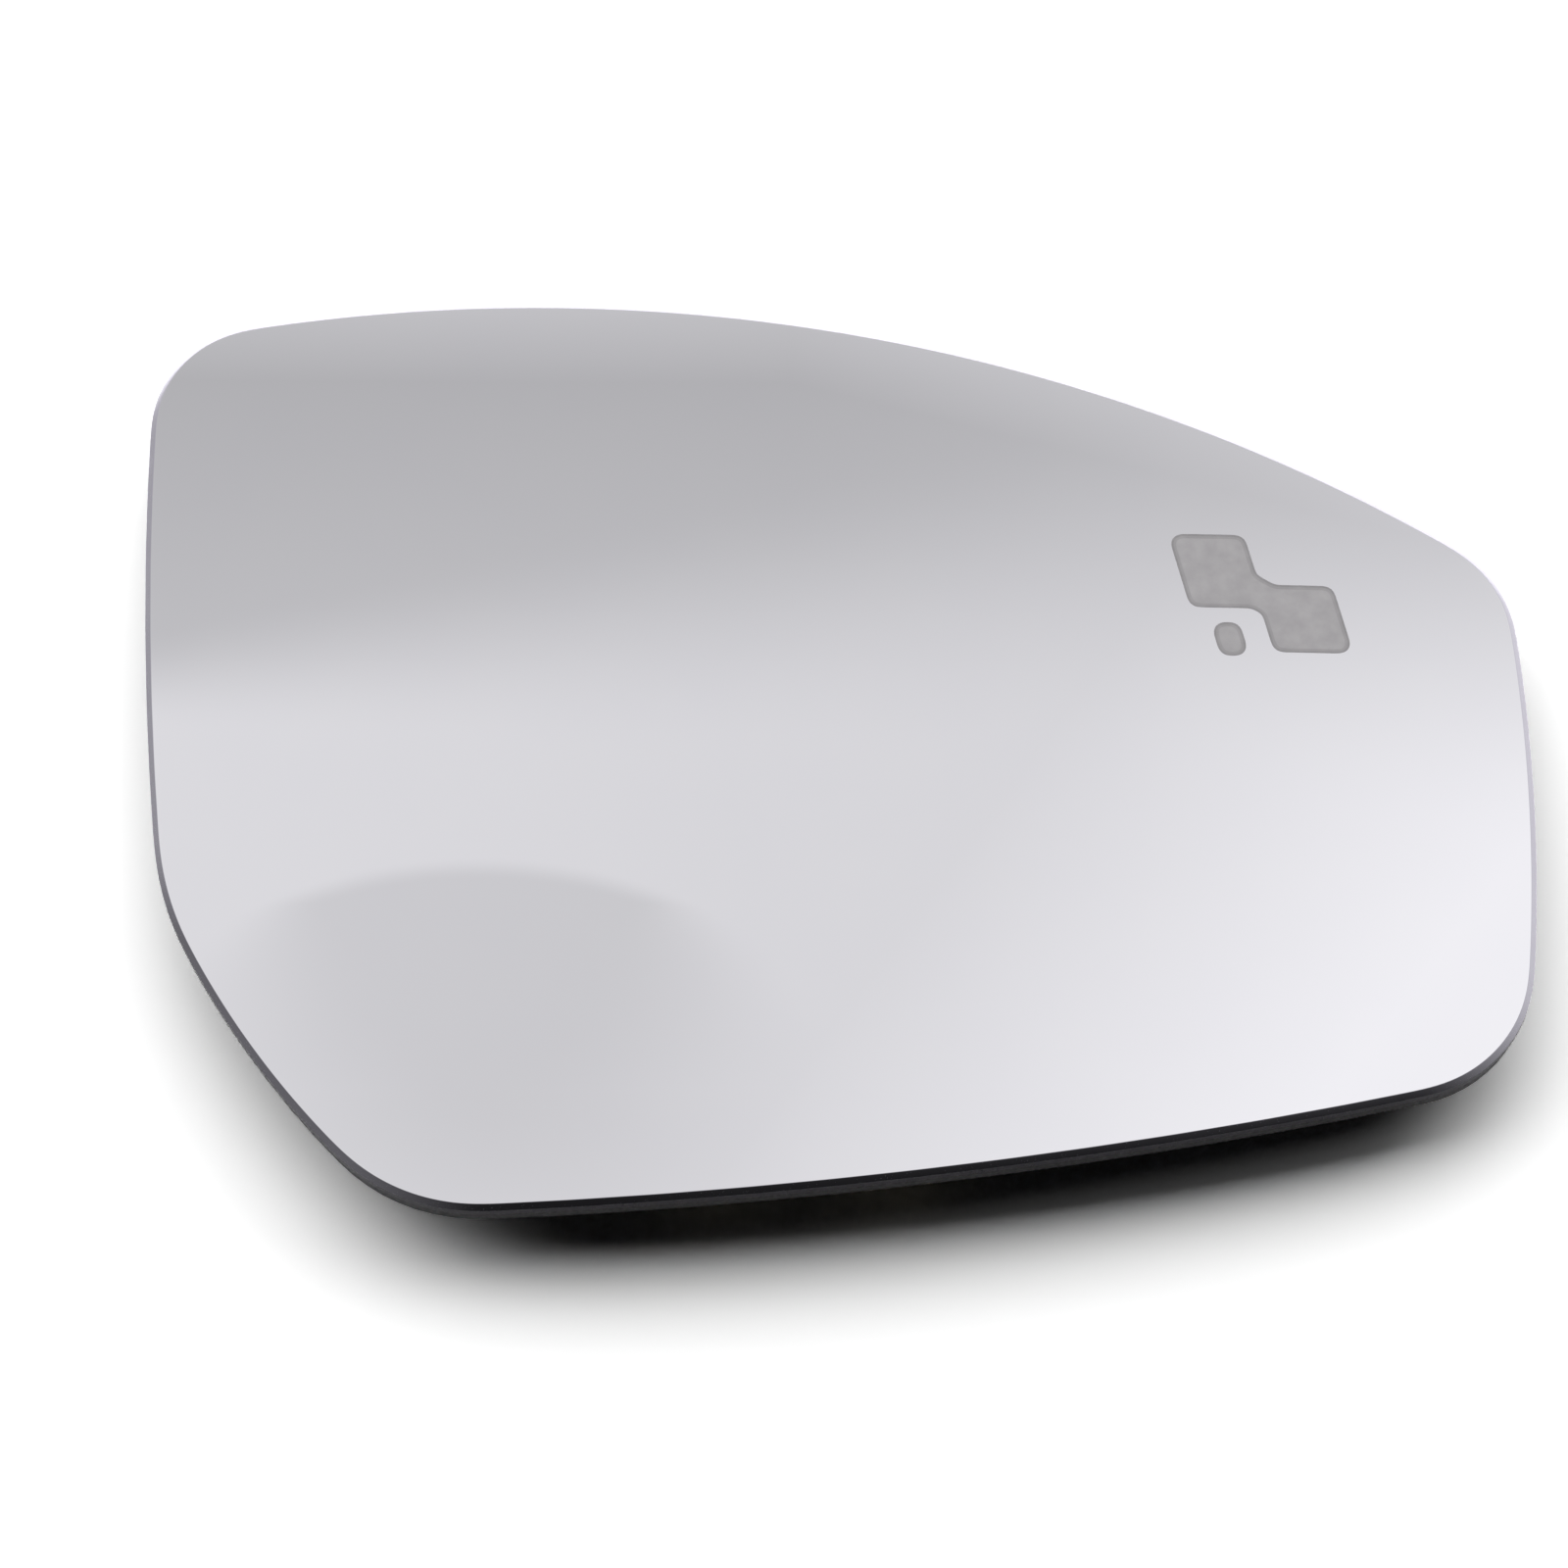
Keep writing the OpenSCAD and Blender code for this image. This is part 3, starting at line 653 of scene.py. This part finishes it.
def dull_room(tree, x, y):
    """What dull surfaces see of the room: only that it is dark to the south, and less so further west."""
    south = minus(tree, maths(tree, "MULTIPLY_ADD", x, SOUTH_LEAN, y))
    gloom = maths(tree, "MULTIPLY_ADD", soft_step(tree, south, *SOUTH_DUSK), -SOUTH_DARKNESS, 1.0)
    return maths(tree, "MAXIMUM", gloom, maths(tree, "MULTIPLY", x, -WEST_LEVEL))


def make_world():
    """A pale studio: white low down, a bright panel overhead and a grey ceiling to the north."""
    world = bpy.data.worlds.new("studio")
    bpy.context.scene.world = world
    world.use_nodes = True
    tree = world.node_tree
    tree.nodes.clear()
    direction = add_node(tree, "ShaderNodeTexCoord").outputs["Generated"]
    x, y, z = add_node(tree, "ShaderNodeSeparateXYZ", {"Vector": direction}).outputs

    # White low down behind the part, and a little greyer with height in the mirror
    path = add_node(tree, "ShaderNodeLightPath")
    mirrored = maths(tree, "MULTIPLY_ADD", z, -WALL_FALL, 1.0)
    walls = maths(tree, "MAXIMUM", mirrored, path.outputs["Is Camera Ray"])
    height = soft_step(tree, z, *PANEL_HEIGHTS)
    sharp = add_node(tree, "ShaderNodeMix", {0: height, 2: walls, 3: overhead(tree, x, y)}).outputs[0]

    # Only the camera and the polished mirror see the room in full
    clear = maths(tree, "MAXIMUM", path.outputs["Is Singular Ray"], path.outputs["Is Camera Ray"])
    seen = add_node(tree, "ShaderNodeMix", {0: clear, 2: dull_room(tree, x, y), 3: sharp}).outputs[0]
    picture = add_node(tree, "ShaderNodeBackground", {"Color": seen})
    fill = add_node(tree, "ShaderNodeBackground", {"Color": (1, 1, 1, 1), "Strength": FILL_LEVEL})
    inputs = {0: looked_at(tree), 1: fill.outputs[0], 2: picture.outputs[0]}
    both = add_node(tree, "ShaderNodeMixShader", inputs)
    output = add_node(tree, "ShaderNodeOutputWorld")
    tree.links.new(both.outputs[0], output.inputs["Surface"])


def make_lamp(name, place, size, power):
    """A soft oval lamp that is turned to the part and that no mirror shows."""
    light = bpy.data.lights.new(name, "AREA")
    light.shape = "ELLIPSE"
    light.size, light.size_y = size
    light.energy = power
    lamp = bpy.data.objects.new(name, light)
    lamp.location = place
    lamp.rotation_euler = (-place).to_track_quat("-Z", "Y").to_euler()
    lamp.visible_camera = False
    lamp.visible_glossy = False
    bpy.context.scene.collection.objects.link(lamp)


def make_camera():
    """The photograph's view: looking along +Y and down on the part."""
    data = bpy.data.cameras.new("camera")
    data.sensor_width = SENSOR_WIDTH
    data.lens = PIXELS_PER_MM / MM * CAMERA_DISTANCE * SENSOR_WIDTH / PHOTO_SIZE
    data.clip_start = CAMERA_NEAR
    camera = bpy.data.objects.new("camera", data)
    back = Vector((0, -math.cos(CAMERA_ELEVATION), math.sin(CAMERA_ELEVATION)))
    camera.location = CAMERA_TARGET + back * CAMERA_DISTANCE
    camera.rotation_euler = back.to_track_quat("Z", "Y").to_euler()
    bpy.context.scene.collection.objects.link(camera)
    bpy.context.scene.camera = camera


FACE_CENTRE_Z = max(
    v.co.z - math.sqrt(FACE_RADIUS ** 2 - v.co.x ** 2 - v.co.y ** 2)
    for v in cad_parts["mirror_glass"].data.vertices
)

bpy.context.scene.view_settings.view_transform = "Standard"
make_camera()
make_floor()
make_world()
for lamp in LAMPS:
    make_lamp(*lamp)

outline = even_loop(rim_loop("mirror_glass", -1), LOOP_STEP, LOOP_SMOOTHING)
fields = [even_loop(rim_loop(node, 1), SIGN_STEP, SIGN_SMOOTHING) for node in FIELD_NODES]
make_glass(outline, fields, silvered_glass(), ground_glass(), edge_glass())
# One frosting for each step in from a field's edge; the outer, darker ones are painted shade
frost_shades = [frosting(f"frosting_{k}", level) for k, (_, level) in enumerate(FROST_SHADE_STEPS)]
for node, loop in zip(FIELD_NODES, fields):
    make_field(node, loop, frost_shades)

# Each material's darker and lighter shade, and where it differs its pattern and roughness
black = moulded_plastic("plate_plastic", (0.012, 0.012, 0.014, 1), (0.022, 0.022, 0.025, 1), PLATE_GRAIN)
lamp_black = moulded_plastic("lamp_plastic", (0.03, 0.031, 0.034, 1), (0.045, 0.046, 0.05, 1), LAMP_GRAIN)
brass = rolled_metal("blade_brass", (0.44, 0.38, 0.26, 1), (0.58, 0.51, 0.37, 1))
foil = rolled_metal("heater_foil", (0.62, 0.62, 0.64, 1), (0.8, 0.8, 0.82, 1))
film = satin_plastic("heater_film", (0.14, 0.075, 0.03, 1), (0.2, 0.11, 0.045, 1))
foam = satin_plastic("gasket_foam", (0.02, 0.02, 0.02, 1), (0.045, 0.045, 0.045, 1), 3000, (0.8, 0.95))
guide = satin_plastic("light_guide", (0.82, 0.82, 0.8, 1), (0.9, 0.9, 0.88, 1), 200, (0.15, 0.25))
board = satin_plastic("lamp_board", (0.02, 0.17, 0.07, 1), (0.035, 0.24, 0.11, 1), 600)
ceramic = satin_plastic("resistor", (0.02, 0.02, 0.02, 1), (0.04, 0.04, 0.04, 1), 1500)
diode = satin_plastic("diode", (0.85, 0.78, 0.42, 1), (0.93, 0.88, 0.6, 1), 900, (0.12, 0.2))

FINISHES = {
    "backing_plate": black,
    "lamp_housing": lamp_black,
    "heater_pad": film,
    "heater_track": foil,
    "heater_blade_left": brass,
    "heater_blade_right": brass,
    "blade_rivet_left": brass,
    "blade_rivet_right": brass,
    "lamp_gasket": foam,
    "lamp_light_guide": guide,
    "lamp_board": board,
    "lamp_led_1": diode,
    "lamp_led_2": diode,
    "lamp_led_3": diode,
    "lamp_resistor": ceramic,
    "lamp_pin_left": brass,
    "lamp_pin_right": brass,
}
for node, material in FINISHES.items():
    dress(node, material)
